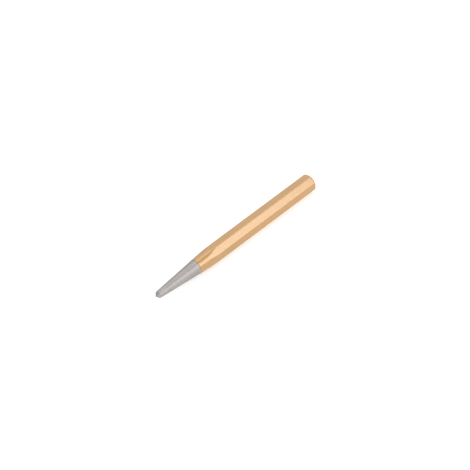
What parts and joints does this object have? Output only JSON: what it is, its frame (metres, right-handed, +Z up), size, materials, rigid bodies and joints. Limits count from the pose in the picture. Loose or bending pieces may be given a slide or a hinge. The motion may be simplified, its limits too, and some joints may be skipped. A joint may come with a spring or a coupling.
{
  "type": "center punch",
  "caption": "Octagonal steel center punch with a lacquered shank, a long bare ground taper and a conical point; marks hole centres when struck.",
  "frame": {"origin": "on the surface that the punch lies on, under the middle of its overall length", "axes": "+X along the punch from its point to its struck head, +Z up, with the shank lying on one of its flats"},
  "size_m": [0.12, 0.0102, 0.0102],
  "materials": {
    "ground_steel": "turned and ground bare steel, fine rings round the taper, satin",
    "gold_lacquer": "bronze-gold metallic lacquer, satin gloss"
  },
  "bodies": {
    "root": {"forged_punch": "ground_steel", "lacquer_coat": "gold_lacquer"}
  },
  "joints": []
}
